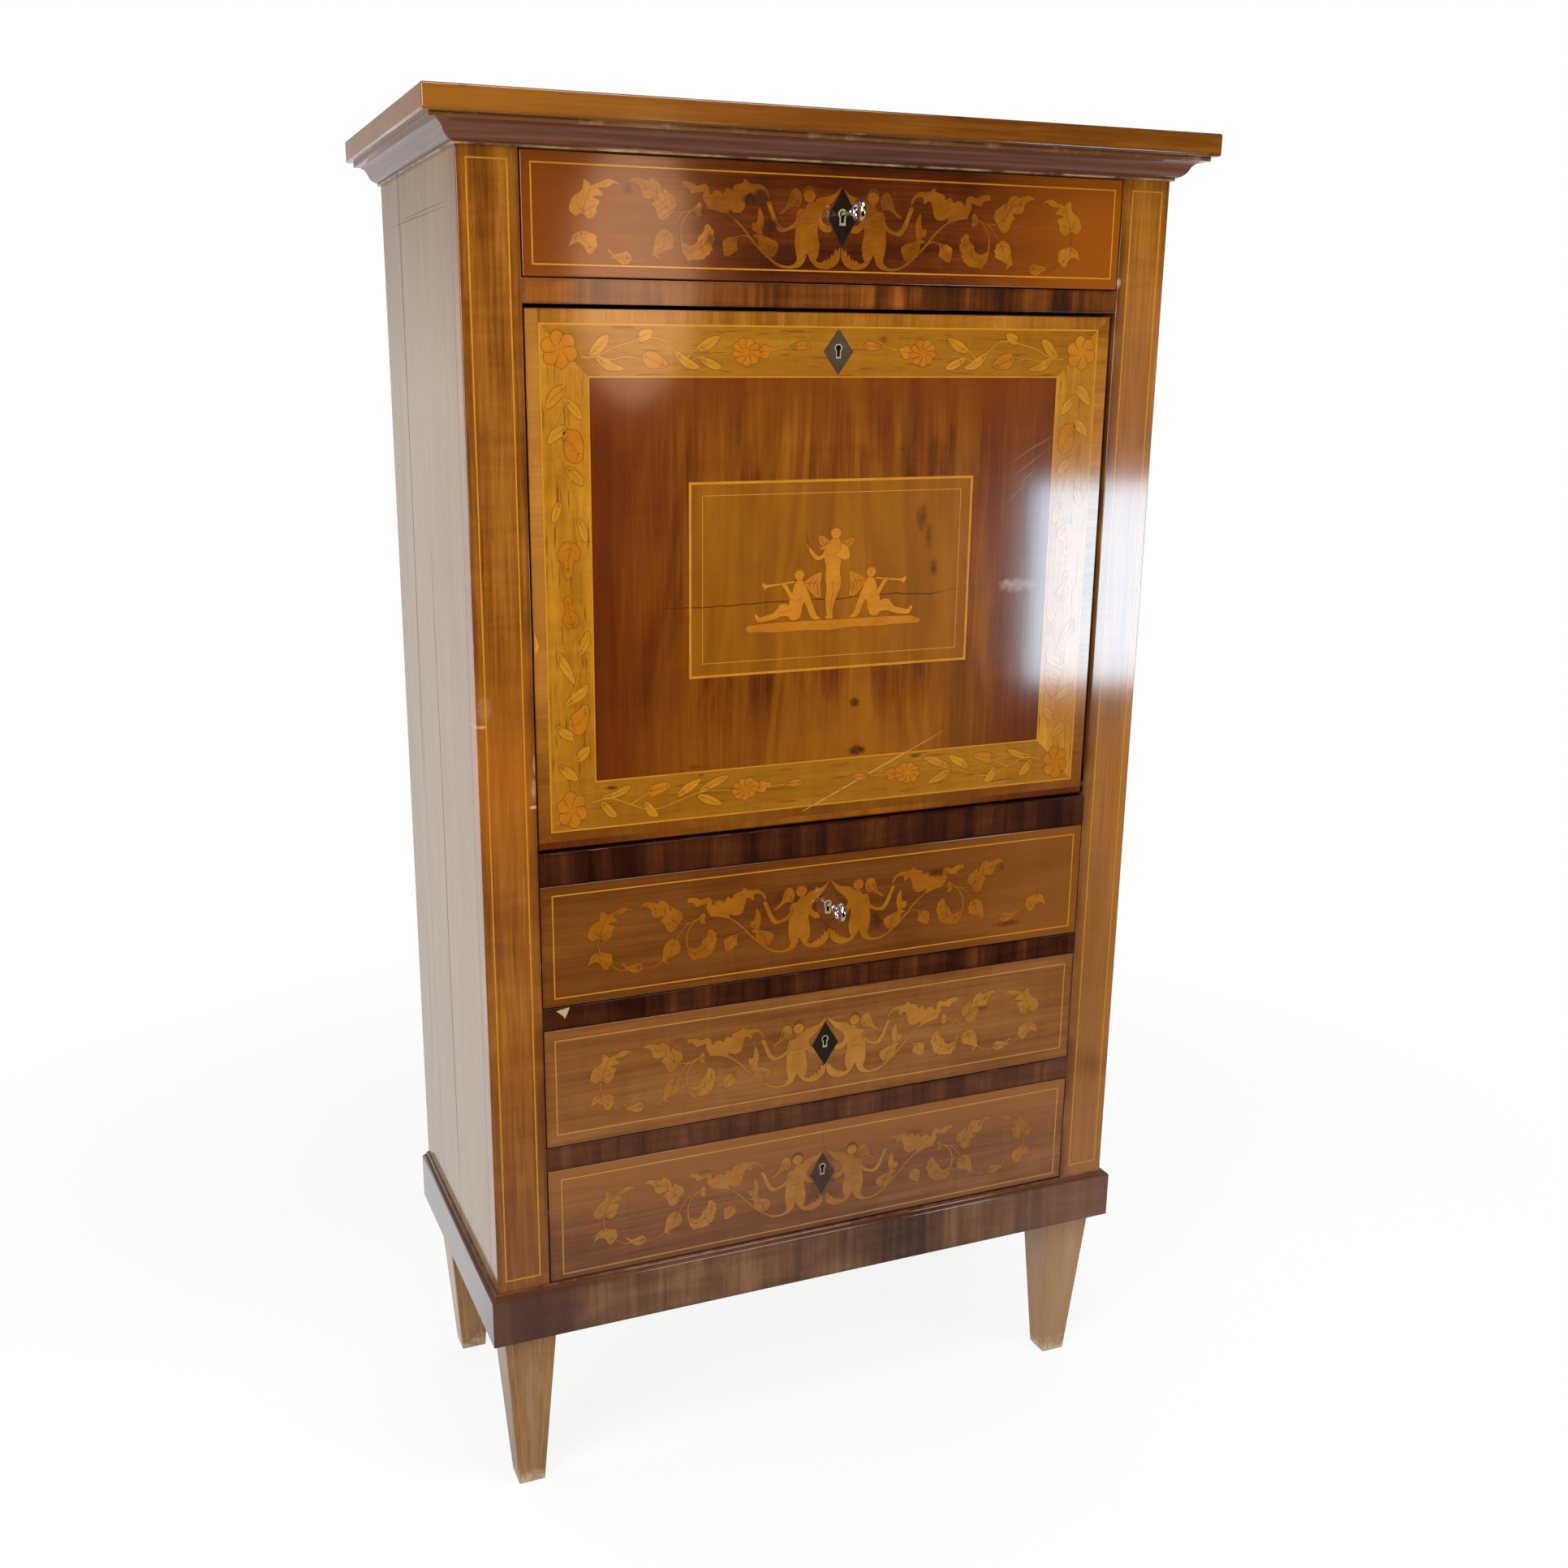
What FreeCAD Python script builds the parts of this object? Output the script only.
import FreeCAD, Part
import math
import os
import Sketcher

# Drop-front escritoire in mahogany: a case on four tapered legs, one drawer under the
# cornice, a falling writing flap over a fitted interior, and three drawers below.
# Millimetres, +Z up, the front faces -Y, the origin lies on the floor under the middle.

SIZES = {
    # carcase and the heights of the front, from the floor upwards
    "case_width": 792.0,
    "case_depth": 365.0,
    "leg_height": 208.5,
    "plinth_height": 56.0,
    "sill_height": 5.5,
    "drawer_4_opening": 137.8,
    "lower_rail_height": 27.0,
    "drawer_3_opening": 139.0,
    "middle_rail_height": 25.0,
    "drawer_2_opening": 137.8,
    "flap_rail_height": 35.0,
    "flap_opening": 548.1,
    "upper_rail_height": 23.5,
    "drawer_1_opening": 114.8,
    "cornice_height": 22.7,
    "slab_thickness": 23.0,
    "slab_overhang": 37.0,
    "slab_edge_radius": 2.5,
    # boards of the case
    "side_thickness": 20.0,
    "pilaster_width": 60.0,
    "pilaster_depth": 25.0,
    "pilaster_edge_radius": 1.2,
    "back_thickness": 12.0,
    "back_joint": 0.6,
    "rail_depth": 24.0,
    "bottom_thickness": 20.0,
    "floor_thickness": 20.0,
    "floor_front_gap": 3.0,
    "dust_thickness": 12.0,
    "guide_height": 32.0,
    # cornice profile: projections from the case and heights within the moulding
    "cornice_fillet_proud": 3.5,
    "cornice_fillet_height": 3.2,
    "cyma_foot_proud": 5.2,
    "cyma_top_proud": 22.3,
    "cyma_top_drop": 4.2,
    "cyma_radius": 12.8,
    "cornice_band_proud": 29.0,
    # plinth with its moulded upper edge
    "plinth_proud": 8.5,
    "plinth_thickness": 24.0,
    "plinth_bead_radius": 3.5,
    "plinth_bead_step": 1.0,
    # square tapered legs
    "leg_inset": 7.5,
    "leg_top_width": 61.0,
    "leg_foot_width": 31.0,
    # writing flap
    "flap_thickness": 22.0,
    "flap_recess": 3.0,
    "flap_left_gap": 1.6,
    "flap_right_gap": 4.4,
    "flap_top_gap": 3.7,
    "flap_bottom_gap": 2.4,
    "flap_corner_radius": 4.0,
    "leather_side_margin": 72.0,
    "leather_hinge_margin": 60.0,
    "leather_top_margin": 88.0,
    "leather_thickness": 1.6,
    # pivot hinges of the flap
    "pivot_inset": 8.0,
    "pin_radius": 4.0,
    "pin_depth": 12.0,
    "pin_clearance": 0.08,
    "pin_bottom_room": 2.0,
    "pivot_plate_thickness": 2.5,
    "pivot_plate_width": 16.0,
    "pivot_plate_height": 34.0,
    "pivot_plate_margin": 6.0,
    # quadrant stays
    "stay_radius": 199.0,
    "stay_width": 12.0,
    "stay_thickness": 5.0,
    "stay_side_gap": 4.0,
    "stay_foot_radius": 6.0,
    "stay_foot_length": 16.0,
    "stay_stop_clearance": 0.5,
    "stay_slot_room": 3.0,
    "stay_flange_height": 46.0,
    "stay_flange_width": 13.0,
    "stay_flange_thickness": 2.0,
    # fitted interior
    "unit_setback": 145.0,
    "unit_side_gap": 16.0,
    "unit_board": 8.0,
    "unit_centre_width": 212.0,
    "unit_drawer_opening": 80.0,
    "unit_drawer_gap": 1.0,
    "unit_front_thickness": 10.0,
    "unit_box_board": 6.0,
    "unit_box_bottom": 4.0,
    "unit_box_drop": 6.0,
    "unit_drawer_rear_room": 6.0,
    "pigeonhole_height": 142.0,
    "niche_height": 292.0,
    # turned knobs of the inner drawers
    "knob_radius": 7.5,
    "knob_length": 14.0,
    "knob_neck_radius": 3.2,
    "knob_neck_length": 5.6,
    "knob_lip_length": 3.6,
    "knob_tip_radius": 4.6,
    # drawers
    "front_thickness": 22.0,
    "front_gap": 1.2,
    "front_edge_radius": 1.0,
    "drawer_side_gap": 1.5,
    "drawer_slide_gap": 0.4,
    "drawer_rear_room": 13.0,
    "drawer_board": 11.0,
    "drawer_side_drop": 9.0,
    "drawer_back_drop": 16.0,
    "drawer_bottom_thickness": 7.0,
    "drawer_bottom_lift": 5.0,
    "tail_length": 15.0,
    "tail_flare": 3.0,
    "tail_spacing": 14.0,
    # locks and keys
    "lock_half_width": 28.0,
    "lock_depth": 12.0,
    "lock_below_key": 18.0,
    "drawer_1_key_drop": 45.8,
    "drawer_2_key_drop": 58.4,
    "drawer_3_key_drop": 59.6,
    "drawer_4_key_drop": 56.6,
    "flap_key_drop": 35.0,
    "keyhole_clearance": 0.6,
    "keyhole_slot_half": 1.8,
    "key_shank_radius": 2.6,
    "key_bit_radius": 8.0,
    "key_bit_half_thickness": 1.2,
    "key_bit_length": 5.0,
    "key_bit_room": 1.0,
    "key_reach": 9.0,
    "key_collar_radius": 3.7,
    "key_collar_length": 2.6,
    "key_collar_stand": 4.5,
    "drawer_1_key_stand": 27.7,
    "drawer_2_key_stand": 21.3,
    "key_bow_radius": 9.2,
    "key_bow_tube": 2.3,
    "bolt_half_width": 9.0,
    "bolt_thickness": 4.0,
    "bolt_inset": 4.0,
    "bolt_travel": 9.0,
    "bolt_setback": 0.5,
    "bolt_clearance": 0.4,
    "bolt_mortise_room": 3.0,
    # how far every cut runs past the face it opens
    "cut_overrun": 2.0,
}


class Size:
    """A length of the piece: its formula in the document and its value."""

    def __init__(self, text, value):
        self.text = text
        self.value = value

    def __add__(self, other):
        other = as_size(other)
        return Size(f"({self.text} + {other.text})", self.value + other.value)

    def __radd__(self, other):
        return as_size(other) + self

    def __sub__(self, other):
        other = as_size(other)
        return Size(f"({self.text} - {other.text})", self.value - other.value)

    def __rsub__(self, other):
        return as_size(other) - self

    def __mul__(self, other):
        other = as_size(other)
        return Size(f"({self.text} * {other.text})", self.value * other.value)

    def __rmul__(self, other):
        return as_size(other) * self

    def __truediv__(self, other):
        other = as_size(other)
        return Size(f"({self.text} / {other.text})", self.value / other.value)

    def __neg__(self):
        return as_size(0) - self


def as_size(value):
    if isinstance(value, Size):
        return value
    return Size(f"({value})", float(value))


def root(value):
    return Size(f"sqrt({value.text})", math.sqrt(value.value))


doc = FreeCAD.newDocument("escritoire")
sheet = doc.addObject("Spreadsheet::Sheet", "Sizes")
cells = {}
for row, (alias, number) in enumerate(SIZES.items(), start=1):
    sheet.set(f"A{row}", alias)
    sheet.set(f"B{row}", str(number))
    sheet.setAlias(f"B{row}", alias)
    cells[alias] = Size(f"Sizes.{alias}", number)
doc.recompute()


def size(alias):
    return cells[alias]


nodes = []


def keep(piece):
    nodes.append(piece)
    return piece


def bind(piece, path, value):
    piece.setExpression(path, as_size(value).text)


def board(label, x, y, z):
    """A plain sawn board between two levels on each axis."""
    piece = doc.addObject("Part::Box", label)
    for side, axis, (low, high) in zip(("Length", "Width", "Height"), "xyz", (x, y, z)):
        bind(piece, side, as_size(high) - low)
        bind(piece, f"Placement.Base.{axis}", low)
    return piece


def group(label, pieces):
    """Several like pieces that share one name."""
    whole = doc.addObject("Part::Compound", label)
    whole.Links = pieces
    return whole


def rectangle(u, v):
    (u0, u1), (v0, v1) = u, v
    return [(u0, v0), (u1, v0), (u1, v1), (u0, v1)]


class Piece:
    """A body worked from sketches on its own planes.

    An outline is a list of corners (u, v), or (u, v, radius, side) where the edge that
    leaves the corner is an arc whose centre lies left (1) or right (-1) of its way.
    """

    def __init__(self, label):
        self.label = label
        self.body = doc.addObject("PartDesign::Body", label)
        self.made = 0

    def name(self, kind):
        self.made += 1
        return f"{self.label}_{kind}_{self.made}"

    def sketch(self, plane, level):
        drawing = self.body.newObject("Sketcher::SketchObject", self.name("sketch"))
        base = [o for o in self.body.Origin.OriginFeatures if o.Role == f"{plane}_Plane"][0]
        drawing.AttachmentSupport = [(base, "")]
        drawing.MapMode = "FlatFace"
        # the XZ plane looks along -Y, so its levels count backwards
        bind(drawing, "AttachmentOffset.Base.z", -as_size(level) if plane == "XZ" else level)
        return drawing

    def pin_point(self, drawing, edge, end, u, v):
        for kind, value in (("DistanceX", u), ("DistanceY", v)):
            value = as_size(value)
            number = drawing.addConstraint(
                Sketcher.Constraint(kind, -1, 1, edge, end, value.value))
            drawing.setExpression(f"Constraints[{number}]", value.text)

    def outline(self, drawing, corners):
        flat = [tuple(as_size(c).value for c in corner[:2]) for corner in corners]
        count = len(corners)
        starts = []
        for i, corner in enumerate(corners):
            (u0, v0), (u1, v1) = flat[i], flat[(i + 1) % count]
            if len(corner) == 2:
                line = Part.LineSegment(FreeCAD.Vector(u0, v0), FreeCAD.Vector(u1, v1))
                drawing.addGeometry(line)
                starts.append((1, 2))
                continue
            radius, side = as_size(corner[2]).value, corner[3]
            reach = math.hypot(u1 - u0, v1 - v0)
            rise = math.sqrt(max(radius ** 2 - reach ** 2 / 4, 0)) / reach
            cu = (u0 + u1) / 2 - side * rise * (v1 - v0)
            cv = (v0 + v1) / 2 + side * rise * (u1 - u0)
            first, last = (math.atan2(v - cv, u - cu) for u, v in ((u0, v0), (u1, v1)))
            if side < 0:
                first, last = last, first
            circle = Part.Circle(FreeCAD.Vector(cu, cv), FreeCAD.Vector(0, 0, 1), radius)
            edge = drawing.addGeometry(Part.ArcOfCircle(circle, first, last))
            starts.append((1, 2) if side > 0 else (2, 1))
            number = drawing.addConstraint(Sketcher.Constraint("Radius", edge, radius))
            drawing.setExpression(f"Constraints[{number}]", as_size(corner[2]).text)
        for i, corner in enumerate(corners):
            after = (i + 1) % count
            drawing.addConstraint(
                Sketcher.Constraint("Coincident", i, starts[i][1], after, starts[after][0]))
        for i, corner in enumerate(corners):
            self.pin_point(drawing, i, starts[i][0], corner[0], corner[1])

    def circle(self, drawing, u, v, radius):
        radius = as_size(radius)
        middle = FreeCAD.Vector(as_size(u).value, as_size(v).value)
        edge = drawing.addGeometry(
            Part.Circle(middle, FreeCAD.Vector(0, 0, 1), radius.value))
        number = drawing.addConstraint(Sketcher.Constraint("Radius", edge, radius.value))
        drawing.setExpression(f"Constraints[{number}]", radius.text)
        self.pin_point(drawing, edge, 3, u, v)

    def draw(self, drawing, shape):
        if isinstance(shape, tuple):
            self.circle(drawing, *shape)
        else:
            self.outline(drawing, shape)

    def pad(self, plane, shape, low, high):
        drawing = self.sketch(plane, high if plane == "XZ" else low)
        self.draw(drawing, shape)
        feature = self.body.newObject("PartDesign::Pad", self.name("pad"))
        feature.Profile = drawing
        bind(feature, "Length", as_size(high) - low)
        doc.recompute()
        return self

    def pocket(self, plane, shape, low, high):
        before = self.body.Shape.Volume
        drawing = self.sketch(plane, low if plane == "XZ" else high)
        self.draw(drawing, shape)
        feature = self.body.newObject("PartDesign::Pocket", self.name("pocket"))
        feature.Profile = drawing
        bind(feature, "Length", as_size(high) - low)
        doc.recompute()
        if not self.body.Shape.Volume < before:
            raise ValueError(f"a cut in {self.label} removes nothing")
        return self

    def turn(self, corners, x, z):
        """A turned form on an axis along Y at the given x and z, from (y, radius) corners."""
        drawing = self.sketch("YZ", x)
        bind(drawing, "AttachmentOffset.Base.y", z)
        self.outline(drawing, corners)
        feature = self.body.newObject("PartDesign::Revolution", self.name("turn"))
        feature.Profile = drawing
        feature.ReferenceAxis = (drawing, ["H_Axis"])
        feature.Angle = 360
        doc.recompute()
        return self

    def round_edges(self, radius, chosen):
        tip = self.body.Tip
        edges = [f"Edge{i}" for i, edge in enumerate(tip.Shape.Edges, start=1)
                 if chosen(edge.CenterOfMass, edge)]
        feature = self.body.newObject("PartDesign::Fillet", self.name("round"))
        feature.Base = (tip, edges)
        bind(feature, "Radius", radius)
        doc.recompute()
        return self


def near(a, b):
    return math.isclose(a, as_size(b).value, abs_tol=1e-4)


# Levels that the pieces share
half = size("case_width") / 2
key_front = size("drawer_1_key_stand") + size("key_bow_radius") * 2 + size("key_bow_tube")
front = (key_front - size("case_depth")) / 2
rear = front + size("case_depth")
back_face = rear - size("back_thickness")
side_face = half - size("side_thickness")
opening = half - size("pilaster_width")
pilaster_back = front + size("pilaster_depth")
rail_back = front + size("rail_depth")
overrun = size("cut_overrun")

plinth_low = size("leg_height")
plinth_top = plinth_low + size("plinth_height")
sill_top = plinth_top + size("sill_height")
lower_rail_low = sill_top + size("drawer_4_opening")
lower_rail_top = lower_rail_low + size("lower_rail_height")
middle_rail_low = lower_rail_top + size("drawer_3_opening")
middle_rail_top = middle_rail_low + size("middle_rail_height")
flap_rail_low = middle_rail_top + size("drawer_2_opening")
flap_rail_top = flap_rail_low + size("flap_rail_height")
upper_rail_low = flap_rail_top + size("flap_opening")
upper_rail_top = upper_rail_low + size("upper_rail_height")
cornice_low = upper_rail_top + size("drawer_1_opening")
slab_low = cornice_low + size("cornice_height")
slab_top = slab_low + size("slab_thickness")

flap_face = front + size("flap_recess")
flap_inner = flap_face + size("flap_thickness")
flap_low = flap_rail_top + size("flap_bottom_gap")
flap_high = upper_rail_low - size("flap_top_gap")
flap_left = -opening + size("flap_left_gap")
flap_right = opening - size("flap_right_gap")
pivot_y = flap_face + size("pivot_inset")
pivot_z = flap_low + size("pivot_inset")
floor_top = flap_low + size("flap_thickness")
floor_low = floor_top - size("floor_thickness")
floor_front = flap_inner + size("floor_front_gap")
ceiling_low = upper_rail_top - size("dust_thickness")

plinth_inner = half + size("plinth_proud") - size("plinth_thickness")
plinth_front_inner = front - size("plinth_proud") + size("plinth_thickness")
plinth_rear_inner = rear - size("plinth_thickness")

# Locks sit in the back of a front, the key passes through the front's thickness
bolt_low_y = size("front_thickness") - size("lock_depth") + size("bolt_inset")
bolt_high_y = bolt_low_y + size("bolt_thickness")


# Top board with a softened edge on the three sides that show
slab = Piece("top_board")
slab_edge = half + size("slab_overhang")
slab.pad("XY", rectangle((-slab_edge, slab_edge), (front - size("slab_overhang"), rear)),
         slab_low, slab_top)
slab.round_edges(size("slab_edge_radius"), lambda c, e: not near(c.y, rear))
keep(slab.body)


# Mitred mouldings round the front and both sides: the cornice and the plinth
def moulding(label, profile, reach, run):
    """A length of moulding: run is front, left or right; profile is (out, z) corners."""
    piece = Piece(label)
    way = 1 if run == "right" else -1
    face = front if run == "front" else way * half
    corners = []
    for corner in profile:
        placed = (face + way * corner[0], corner[1])
        if len(corner) == 4:
            placed = placed + (corner[2], way * corner[3])
        corners.append(placed)
    low, high = profile[0][1], max((c[1] for c in profile), key=lambda level: level.value)
    outer = half + reach + overrun
    ahead = front - reach - overrun
    # the cut runs on a line at 45 degrees through the corner of the case
    inner_end = (half - size("plinth_thickness"), front + size("plinth_thickness"))
    if run == "front":
        piece.pad("YZ", corners, -outer, outer)
        for side in (-1, 1):
            cut = [(side * inner_end[0], inner_end[1]), (side * outer, ahead),
                   (side * (outer + overrun), ahead), (side * (outer + overrun), inner_end[1])]
            piece.pocket("XY", cut, low - overrun, high + overrun)
    else:
        piece.pad("XZ", corners, front - reach, rear)
        cut = [(way * inner_end[0], inner_end[1]), (way * outer, ahead),
               (way * outer, ahead - overrun), (way * inner_end[0], ahead - overrun)]
        piece.pocket("XY", cut, low - overrun, high + overrun)
    return keep(piece.body)


cyma_low = cornice_low + size("cornice_fillet_height")
cyma_high = slab_low - size("cyma_top_drop")
cyma_middle = ((size("cyma_foot_proud") + size("cyma_top_proud")) / 2, (cyma_low + cyma_high) / 2)
cornice_profile = [
    (as_size(0), cornice_low),
    (size("cornice_fillet_proud"), cornice_low),
    (size("cornice_fillet_proud"), cyma_low),
    (size("cyma_foot_proud"), cyma_low, size("cyma_radius"), 1),
    (cyma_middle[0], cyma_middle[1], size("cyma_radius"), -1),
    (size("cyma_top_proud"), cyma_high),
    (size("cornice_band_proud"), cyma_high),
    (size("cornice_band_proud"), slab_low),
    (as_size(0), slab_low),
]
for run in ("front", "left", "right"):
    moulding(f"cornice_{run}", cornice_profile, size("cornice_band_proud"), run)

bead = size("plinth_bead_radius")
plinth_shoulder = sill_top - bead * 2
plinth_profile = [
    (size("plinth_proud") - size("plinth_thickness"), plinth_low),
    (size("plinth_proud"), plinth_low),
    (size("plinth_proud"), plinth_shoulder, bead, 1),
    (size("plinth_proud") - bead, plinth_shoulder + bead),
    (size("plinth_proud") - bead - size("plinth_bead_step"), plinth_shoulder + bead, bead, 1),
    (size("plinth_proud") - bead * 2 - size("plinth_bead_step"), sill_top),
    (as_size(0), sill_top),
    (as_size(0), plinth_top),
    (size("plinth_proud") - size("plinth_thickness"), plinth_top),
]
for run in ("front", "left", "right"):
    moulding(f"plinth_{run}", plinth_profile, size("plinth_proud"), run)
keep(board("plinth_back", (-plinth_inner, plinth_inner), (plinth_rear_inner, rear),
           (plinth_low, plinth_top)))


# Legs: a square taper under the plinth and a corner block up inside it
def leg(label, side, at_front):
    width = size("leg_top_width")
    taper = (width - size("leg_foot_width")) / 2
    outer = half - size("leg_inset")
    x = (-outer, -outer + width) if side < 0 else (outer - width, outer)
    ahead = front + size("leg_inset")
    behind = rear - size("leg_inset")
    y = (ahead, ahead + width) if at_front else (behind - width, behind)
    # the taper is drawn lying along Y and then stood upright
    post = doc.addObject("Part::Wedge", f"{label}_taper")
    bind(post, "Ymin", 0)
    bind(post, "Ymax", plinth_low)
    for end, inset in (("", taper), ("2", as_size(0))):
        bind(post, f"X{end}min", x[0] + inset)
        bind(post, f"X{end}max", x[1] - inset)
        bind(post, f"Z{end}min", inset - y[1])
        bind(post, f"Z{end}max", -y[0] - inset)
    post.Placement = FreeCAD.Placement(
        FreeCAD.Vector(0, 0, 0), FreeCAD.Rotation(FreeCAD.Vector(1, 0, 0), 90))
    block = board(f"{label}_block",
                  (-plinth_inner, x[1]) if side < 0 else (x[0], plinth_inner),
                  (plinth_front_inner, y[1]) if at_front else (y[0], plinth_rear_inner),
                  (plinth_low, sill_top - size("bottom_thickness")))
    whole = doc.addObject("Part::MultiFuse", label)
    whole.Shapes = [post, block]
    return keep(whole)


for side, hand in ((-1, "left"), (1, "right")):
    leg(f"leg_front_{hand}", side, True)
    leg(f"leg_rear_{hand}", side, False)


# Case sides and the pilasters that carry the flap's pivots
socket_low_z = pivot_z - size("pivot_plate_margin")
socket_high_z = socket_low_z + size("pivot_plate_height")
socket_y = (pivot_y - size("pivot_plate_margin"),
            pivot_y - size("pivot_plate_margin") + size("pivot_plate_width"))
sockets = []
for side, hand, gap in ((-1, "left", "flap_left_gap"), (1, "right", "flap_right_gap")):
    keep(board(f"{hand}_side", (-half, -side_face) if side < 0 else (side_face, half),
               (pilaster_back, rear), (plinth_top, slab_low)))
    pilaster = Piece(f"{hand}_pilaster")
    pilaster.pad("XY", rectangle((side * opening, side * half), (front, pilaster_back)),
                 plinth_top, slab_low)
    pilaster.round_edges(size("pilaster_edge_radius"),
                         lambda c, e: near(c.y, front) and e.Length > size("flap_opening").value)
    plate_back = opening + size("pivot_plate_thickness")
    hole_end = opening + size("pin_depth") + size("pin_bottom_room")
    hole_radius = size("pin_radius") + size("pin_clearance") * 2
    plate_shape = rectangle(socket_y, (socket_low_z, socket_high_z))
    if side < 0:
        pilaster.pocket("YZ", plate_shape, -plate_back, -opening + overrun)
        pilaster.pocket("YZ", (pivot_y, pivot_z, hole_radius), -hole_end, -opening + overrun)
    else:
        pilaster.pocket("YZ", plate_shape, opening - overrun, plate_back)
        pilaster.pocket("YZ", (pivot_y, pivot_z, hole_radius), opening - overrun, hole_end)
    keep(pilaster.body)
    socket = Piece(f"{hand}_pivot_socket")
    span = (-plate_back, -opening) if side < 0 else (opening, plate_back)
    socket.pad("YZ", plate_shape, *span)
    socket.pocket("YZ", (pivot_y, pivot_z, size("pin_radius") + size("pin_clearance")),
                  span[0] - overrun, span[1] + overrun)
    sockets.append(socket.body)
keep(group("pivot_sockets", sockets))


# Back of four upright boards
back_count = 4
back_step = side_face * 2 / back_count
keep(group("back_boards", [
    board(f"back_board_{i + 1}",
          (-side_face + back_step * i, -side_face + back_step * (i + 1)
           - (size("back_joint") if i + 1 < back_count else as_size(0))),
          (back_face, rear), (plinth_top, slab_low))
    for i in range(back_count)]))


# Rails between the pilasters; two of them take the bolts of the drawers below
def rail(label, low, high, mortised):
    piece = Piece(label)
    piece.pad("XY", rectangle((-opening, opening), (front, rail_back)), low, high)
    if mortised:
        room = size("bolt_clearance")
        piece.pocket("XY", rectangle(
            (-size("bolt_half_width") - room, size("bolt_half_width") + room),
            (front + bolt_low_y - room, front + bolt_high_y + room)),
            low - overrun, low + size("bolt_travel") + size("bolt_mortise_room"))
    return keep(piece.body)


rail("top_rail", cornice_low, slab_low, True)
rail("upper_rail", upper_rail_low, upper_rail_top, False)
rail("flap_rail", flap_rail_low, flap_rail_top, True)
rail("middle_rail", middle_rail_low, middle_rail_top, False)
rail("lower_rail", lower_rail_low, lower_rail_top, False)
keep(board("bottom_sill", (-opening, opening), (front, pilaster_back),
           (plinth_top, sill_top)))


# Boards inside the case: bottom, dust boards, the floor and ceiling behind the flap
inside = (-side_face, side_face)
keep(board("bottom_board", inside, (pilaster_back, plinth_rear_inner),
           (sill_top - size("bottom_thickness"), sill_top)))
keep(group("dust_boards", [
    board(f"dust_board_{name}", inside, (pilaster_back, back_face),
          (level - size("dust_thickness"), level))
    for name, level in (("middle", middle_rail_top), ("lower", lower_rail_top))]))
keep(board("compartment_ceiling", inside, (pilaster_back, back_face),
           (ceiling_low, upper_rail_top)))

# Stays stand just inside the flap's ends, their feet run behind the pilasters
stay_drop = (size("pilaster_depth") - size("flap_recess") - size("pivot_inset")
             + size("stay_foot_radius") + size("stay_stop_clearance"))
stay_reach = root(size("stay_radius") * size("stay_radius") - stay_drop * stay_drop)
stay_outer = {-1: -flap_left - size("stay_side_gap"), 1: flap_right - size("stay_side_gap")}

floor = Piece("compartment_floor")
floor.pad("XY", rectangle(inside, (floor_front, back_face)), floor_low, floor_top)
slot_room = size("stay_foot_radius") + size("stay_slot_room")
for side in (-1, 1):
    slot_x = (stay_outer[side] - size("stay_thickness") - size("stay_slot_room"),
              stay_outer[side] + size("stay_foot_length") + size("stay_slot_room"))
    floor.pocket("XY", rectangle(
        (side * slot_x[0], side * slot_x[1]),
        (pivot_y + stay_reach - slot_room, pivot_y + size("stay_radius") + slot_room)),
        floor_low - overrun, floor_top + overrun)
keep(floor.body)

# Drawer guides fill the space between the case sides and the drawers
guides = []
for name, level in (("1", upper_rail_top), ("2", middle_rail_top), ("3", lower_rail_top),
                    ("4", sill_top)):
    for side, hand in ((-1, "left"), (1, "right")):
        span = (-side_face, -opening) if side < 0 else (opening, side_face)
        guides.append(board(f"guide_{name}_{hand}", span, (pilaster_back, back_face),
                            (level, level + size("guide_height"))))
keep(group("drawer_guides", guides))


# Fitted interior: sides, two dividers, and shelves over the row of small drawers
unit_front = front + size("unit_setback")
unit_depth = (unit_front, back_face)
unit_height = (floor_top, ceiling_low)
unit_outer = opening - size("unit_side_gap")
unit_inner = unit_outer - size("unit_board")
centre_half = size("unit_centre_width") / 2
divider_outer = centre_half + size("unit_board")
bays = {
    "left": (-unit_inner, -divider_outer),
    "centre": (-centre_half, centre_half),
    "right": (divider_outer, unit_inner),
}
keep(group("unit_sides", [
    board("unit_side_left", (-unit_outer, -unit_inner), unit_depth, unit_height),
    board("unit_side_right", (unit_inner, unit_outer), unit_depth, unit_height)]))
keep(group("unit_dividers", [
    board("unit_divider_left", (-divider_outer, -centre_half), unit_depth, unit_height),
    board("unit_divider_right", (centre_half, divider_outer), unit_depth, unit_height)]))
shelf_low = floor_top + size("unit_drawer_opening")
shelf_top = shelf_low + size("unit_board")
shelves = []
for bay, span in bays.items():
    levels = [shelf_low]
    if bay == "centre":
        levels.append(shelf_top + size("niche_height"))
    else:
        step = size("pigeonhole_height") + size("unit_board")
        levels.append(shelf_top + size("pigeonhole_height"))
        levels.append(shelf_top + size("pigeonhole_height") + step)
    for i, level in enumerate(levels, start=1):
        shelves.append(board(f"shelf_{bay}_{i}", span, unit_depth,
                             (level, level + size("unit_board"))))
keep(group("unit_shelves", shelves))


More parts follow.
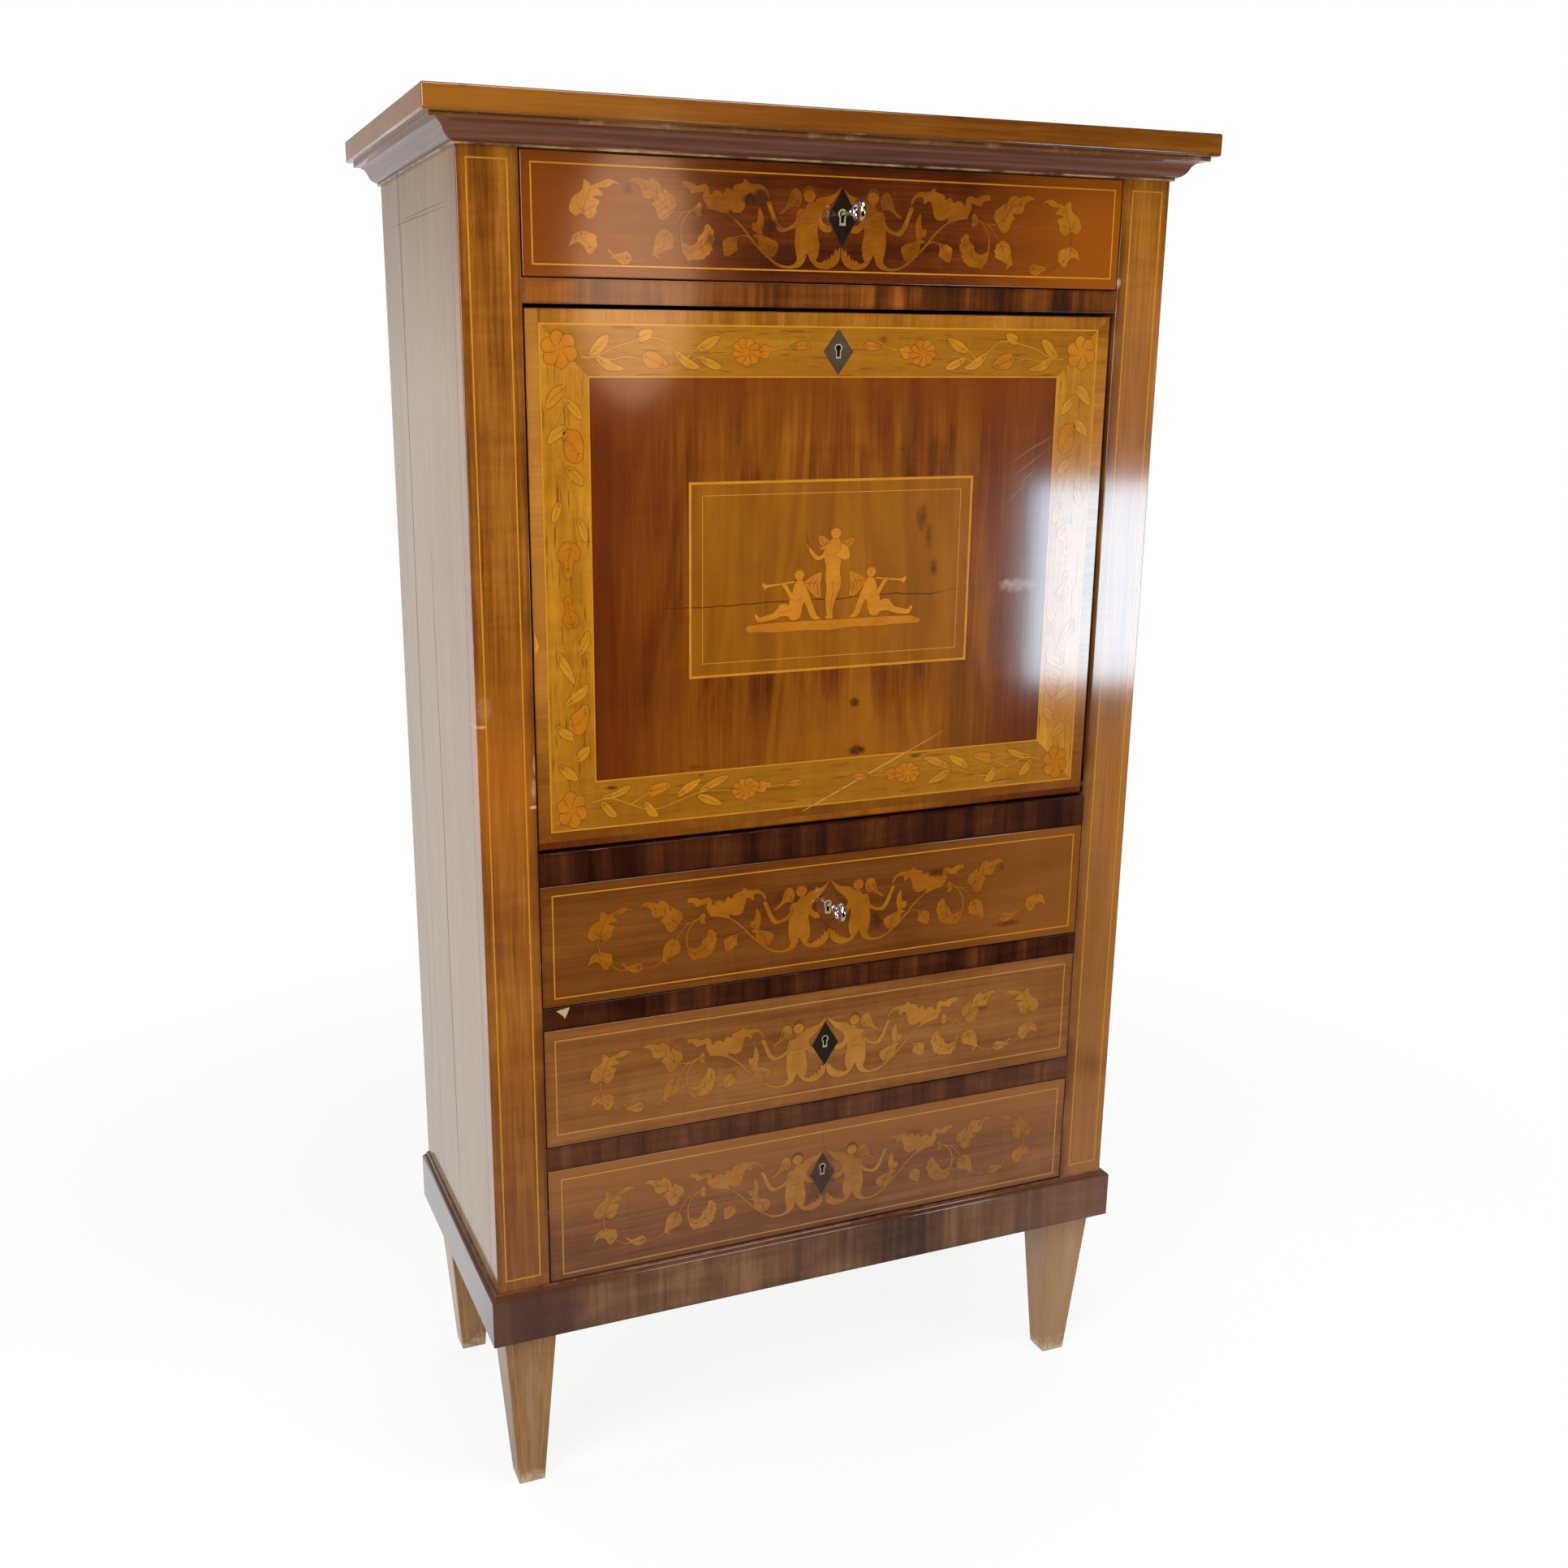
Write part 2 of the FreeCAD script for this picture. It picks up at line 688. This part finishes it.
# Locks, keyholes, bolts and keys, the same on every front
def cut_keyhole(piece, key_z, face):
    """Round hole and slot for the key, through a front whose face is at the given y."""
    ends = (face - overrun, face + size("front_thickness") + overrun)
    piece.pocket("XZ", (as_size(0), key_z, size("key_shank_radius") + size("keyhole_clearance")),
                 *ends)
    piece.pocket("XZ", rectangle(
        (-size("keyhole_slot_half"), size("keyhole_slot_half")),
        (key_z - size("key_bit_radius") - size("keyhole_clearance"), key_z)), *ends)


def cut_lock_mortise(piece, key_z, top, back):
    piece.pocket("XZ", rectangle((-size("lock_half_width"), size("lock_half_width")),
                                 (key_z - size("lock_below_key"), top + overrun)),
                 back - size("lock_depth"), back + overrun)


def lock(label, key_z, top, back, with_bolt):
    """A lock case let into the back of a front, hollow for the bit and for the bolt."""
    piece = Piece(f"{label}_case" if with_bolt else label)
    well = size("key_bit_radius") + size("keyhole_clearance")
    room = size("bolt_clearance")
    lock_face = back - size("lock_depth")
    piece.pad("XZ", rectangle((-size("lock_half_width"), size("lock_half_width")),
                              (key_z - size("lock_below_key"), top)), lock_face, back)
    piece.pocket("XZ", (as_size(0), key_z, well), lock_face - overrun,
                 lock_face + size("key_reach") + size("keyhole_clearance"))
    bolt_y = (lock_face + size("bolt_inset"),
              lock_face + size("bolt_inset") + size("bolt_thickness"))
    bolt_z = (key_z + well + room * 2, top - size("bolt_setback"))
    piece.pocket("XY", rectangle(
        (-size("bolt_half_width") - room, size("bolt_half_width") + room),
        (bolt_y[0] - room, bolt_y[1] + room)), key_z + well + room, top + overrun)
    name = f"{label}_bolt" if with_bolt else label.replace("lock", "bolt")
    bolt = board(name, (-size("bolt_half_width"), size("bolt_half_width")), bolt_y, bolt_z)
    if with_bolt:
        return keep(group(label, [piece.body, bolt]))
    keep(bolt)
    return keep(piece.body)


bow_corners = 24


def key(label, key_z, face, stand):
    """Bit, shank and collar on one axis along Y, and a filed bow in the upright plane."""
    lock_face = face + size("front_thickness") - size("lock_depth")
    inner = lock_face + size("key_reach")
    shank_end = face - stand
    collar_end = shank_end + size("key_collar_stand")
    shank, collar = size("key_shank_radius"), size("key_collar_radius")
    piece = Piece(label)
    piece.turn([
        (shank_end, as_size(0)),
        (inner, as_size(0)),
        (inner, shank),
        (collar_end + size("key_collar_length"), shank),
        (collar_end + size("key_collar_length"), collar),
        (collar_end, collar),
        (collar_end, shank),
        (shank_end, shank),
    ], as_size(0), key_z)
    bit_start = lock_face + size("key_bit_room")
    piece.pad("XZ", rectangle(
        (-size("key_bit_half_thickness"), size("key_bit_half_thickness")),
        (key_z - size("key_bit_radius"), key_z)), bit_start, bit_start + size("key_bit_length"))
    ring, tube = size("key_bow_radius"), size("key_bow_tube")
    corners = [2 * math.pi * i / bow_corners for i in range(bow_corners)]
    outer, hole = ([(shank_end - ring + radius * math.cos(a), key_z + radius * math.sin(a))
                    for a in corners] for radius in (ring + tube, ring - tube))
    piece.pad("YZ", outer, -tube, tube)
    piece.pocket("YZ", hole, -tube - overrun, tube + overrun)
    return keep(piece.body)


# Drawers: a veneered front with lock, and a box of sides, back and bottom behind it.
# The sides are dovetailed into the front, stopped short of its face.
tail_count = 3


def tails(low, high, root_y):
    """The tails of one drawer side, as (y, z) corners from the lowest tail upwards."""
    pitch = (high - low) / tail_count
    tip_y = root_y - size("tail_length")
    shapes = []
    for i in range(tail_count):
        bottom = low + pitch * i + size("tail_spacing") / 2
        top = low + pitch * (i + 1) - size("tail_spacing") / 2
        shapes.append([(root_y, bottom), (tip_y, bottom - size("tail_flare")),
                       (tip_y, top + size("tail_flare")), (root_y, top)])
    return shapes


def drawer(number, low, high, with_key):
    face_back = front + size("front_thickness")
    front_low = low + size("front_gap")
    front_high = high - size("front_gap")
    key_z = front_high - size(f"drawer_{number}_key_drop")
    width = opening - size("front_gap")
    outer = opening - size("drawer_side_gap")
    inner = outer - size("drawer_board")
    end = back_face - size("drawer_rear_room")
    box_low = low + size("drawer_slide_gap")
    side_top = front_high - size("drawer_side_drop")
    bottom_low = box_low + size("drawer_bottom_lift")
    bottom_top = bottom_low + size("drawer_bottom_thickness")
    back_start = end - size("drawer_board")
    joints = tails(box_low, side_top, face_back)

    piece = Piece(f"drawer_{number}_front")
    piece.pad("XZ", rectangle((-width, width), (front_low, front_high)), front, face_back)
    piece.round_edges(size("front_edge_radius"), lambda c, e: near(c.y, front))
    cut_lock_mortise(piece, key_z, front_high, face_back)
    cut_keyhole(piece, key_z, front)
    for tail in joints:
        socket = tail + [(face_back + overrun, tail[3][1]), (face_back + overrun, tail[0][1])]
        piece.pocket("YZ", socket, inner, width + overrun)
        piece.pocket("YZ", socket, -width - overrun, -inner)
    keep(piece.body)

    sides = []
    for hand, span in (("left", (-outer, -inner)), ("right", (inner, outer))):
        side = Piece(f"drawer_{number}_side_{hand}")
        edge = [(end, side_top), (end, box_low), (face_back, box_low)]
        for tail in joints:
            edge.extend(tail)
        side.pad("YZ", edge + [(face_back, side_top)], *span)
        sides.append(side.body)
    keep(group(f"drawer_{number}_box", sides + [
        board(f"drawer_{number}_bottom", (-inner, inner), (face_back, back_start),
              (bottom_low, bottom_top)),
        board(f"drawer_{number}_back", (-inner, inner), (back_start, end),
              (bottom_low, front_high - size("drawer_back_drop")))]))
    lock(f"drawer_{number}_lock", key_z, front_high, face_back, not with_key)
    if with_key:
        key(f"drawer_{number}_key", key_z, front, size(f"drawer_{number}_key_stand"))


drawer(1, upper_rail_top, cornice_low, True)
drawer(2, middle_rail_top, flap_rail_low, True)
drawer(3, lower_rail_top, middle_rail_low, False)
drawer(4, sill_top, lower_rail_low, False)


# Writing flap on pivots, with its leather, lock and quadrant stays
flap_key_z = flap_high - size("flap_key_drop")
corner = size("flap_corner_radius")
flap = Piece("flap_panel")
flap.pad("YZ", [
    (flap_face + corner, flap_low),
    (flap_inner, flap_low),
    (flap_inner, flap_high),
    (flap_face, flap_high),
    (flap_face, flap_low + corner, corner, 1),
], flap_left, flap_right)
leather_x = (flap_left + size("leather_side_margin"), flap_right - size("leather_side_margin"))
leather_z = (flap_low + size("leather_hinge_margin"), flap_high - size("leather_top_margin"))
leather_y = (flap_inner - size("leather_thickness"), flap_inner)
flap.pocket("XZ", rectangle(leather_x, leather_z), leather_y[0], flap_inner + overrun)
cut_lock_mortise(flap, flap_key_z, flap_high, flap_inner)
cut_keyhole(flap, flap_key_z, flap_face)
plate_y = (pivot_y - size("pivot_plate_margin"),
           pivot_y - size("pivot_plate_margin") + size("pivot_plate_width"))
plate_z = (pivot_z - size("pivot_plate_margin"),
           pivot_z - size("pivot_plate_margin") + size("pivot_plate_height"))
plate = rectangle(plate_y, plate_z)
plate_deep = size("pivot_plate_thickness")
flap.pocket("YZ", plate, flap_left - overrun, flap_left + plate_deep)
flap.pocket("YZ", plate, flap_right - plate_deep, flap_right + overrun)
keep(flap.body)
keep(board("writing_leather", leather_x, leather_y, leather_z))
lock("flap_lock", flap_key_z, flap_high, flap_inner, True)

pivots = []
for side, hand, gap in ((-1, "left", "flap_left_gap"), (1, "right", "flap_right_gap")):
    pivot = Piece(f"{hand}_pivot")
    pin_end = size(gap) + size("pin_depth")
    pin = (pivot_y, pivot_z, size("pin_radius"))
    if side < 0:
        pivot.pad("YZ", plate, flap_left, flap_left + plate_deep)
        pivot.pad("YZ", pin, flap_left - pin_end, flap_left + plate_deep)
    else:
        pivot.pad("YZ", plate, flap_right - plate_deep, flap_right)
        pivot.pad("YZ", pin, flap_right - plate_deep, flap_right + pin_end)
    pivots.append(pivot.body)
keep(group("flap_pivots", pivots))

stays = []
inner_radius = size("stay_radius") - size("stay_width") / 2
outer_radius = size("stay_radius") + size("stay_width") / 2
root_y = flap_inner + size("stay_flange_thickness") - pivot_y
for side, hand in ((-1, "left"), (1, "right")):
    stay = Piece(f"{hand}_stay")
    outer_x = stay_outer[side]
    span = sorted((side * (outer_x - size("stay_thickness")), side * outer_x),
                  key=lambda level: level.value)
    foot_drop = stay_drop
    arc = [
        (pivot_y + root(inner_radius * inner_radius - foot_drop * foot_drop),
         pivot_z - foot_drop),
        (pivot_y + root(outer_radius * outer_radius - foot_drop * foot_drop),
         pivot_z - foot_drop, outer_radius, 1),
        (flap_inner, pivot_z + root(outer_radius * outer_radius
                                    - (flap_inner - pivot_y) * (flap_inner - pivot_y))),
        (flap_inner, pivot_z + root(inner_radius * inner_radius
                                    - (flap_inner - pivot_y) * (flap_inner - pivot_y)),
         inner_radius, -1),
    ]
    stay.pad("YZ", arc, *span)
    foot = sorted((side * (outer_x - size("stay_thickness")),
                   side * (outer_x + size("stay_foot_length"))), key=lambda level: level.value)
    stay.pad("YZ", (pivot_y + stay_reach, pivot_z - stay_drop, size("stay_foot_radius")), *foot)
    flange_x = sorted((side * (outer_x - size("stay_thickness") / 2 - size("stay_flange_width") / 2),
                       side * (outer_x - size("stay_thickness") / 2
                               + size("stay_flange_width") / 2)),
                      key=lambda level: level.value)
    flange_middle = pivot_z + size("stay_radius")
    stay.pad("XZ", rectangle(flange_x, (flange_middle - size("stay_flange_height") / 2,
                                        flange_middle + size("stay_flange_height") / 2)),
             flap_inner, flap_inner + size("stay_flange_thickness"))
    stays.append(stay.body)
keep(group("flap_stays", stays))


# Small drawers of the interior with turned brass knobs
def knob(label, x, z, face):
    piece = Piece(label)
    tip = face - size("knob_length")
    neck_end = face - size("knob_neck_length")
    piece.turn([
        (tip, as_size(0)),
        (face, as_size(0)),
        (face, size("knob_neck_radius")),
        (neck_end, size("knob_neck_radius")),
        (neck_end - size("knob_lip_length"), size("knob_radius")),
        (tip, size("knob_tip_radius")),
    ], x, z)
    return keep(piece.body)


for bay, (left, right) in bays.items():
    gap = size("unit_drawer_gap")
    outer = (left + gap, right - gap)
    low = floor_top + size("drawer_slide_gap")
    high = shelf_low - gap
    thick = size("unit_front_thickness")
    wall = size("unit_box_board")
    box_top = high - size("unit_box_drop")
    end = back_face - size("unit_drawer_rear_room")
    start = unit_front + thick
    inner = (outer[0] + wall, outer[1] - wall)
    name = f"inner_drawer_{bay}"
    keep(group(name, [
        board(f"{name}_front", outer, (unit_front, start), (low, high)),
        board(f"{name}_side_a", (outer[0], inner[0]), (start, end), (low, box_top)),
        board(f"{name}_side_b", (inner[1], outer[1]), (start, end), (low, box_top)),
        board(f"{name}_back", inner, (end - wall, end), (low, box_top)),
        board(f"{name}_bottom", inner, (start, end - wall),
              (low, low + size("unit_box_bottom")))]))
    knob(f"{name}_knob", (left + right) / 2, (low + high) / 2, unit_front)


# Every piece is checked before any is written
doc.recompute()
for item in doc.Objects:
    if "Invalid" in item.State or "Error" in item.State:
        raise RuntimeError(f"{item.Label} failed: {item.State}")
for piece in nodes:
    if piece.Shape.isNull() or not piece.Shape.isValid() or piece.Shape.Volume <= 0:
        raise RuntimeError(f"{piece.Label} has no sound shape")

os.makedirs("parts", exist_ok=True)
for piece in nodes:
    piece.Shape.exportStep(f"parts/{piece.Label}.step")
print(f"{len(nodes)} pieces written")
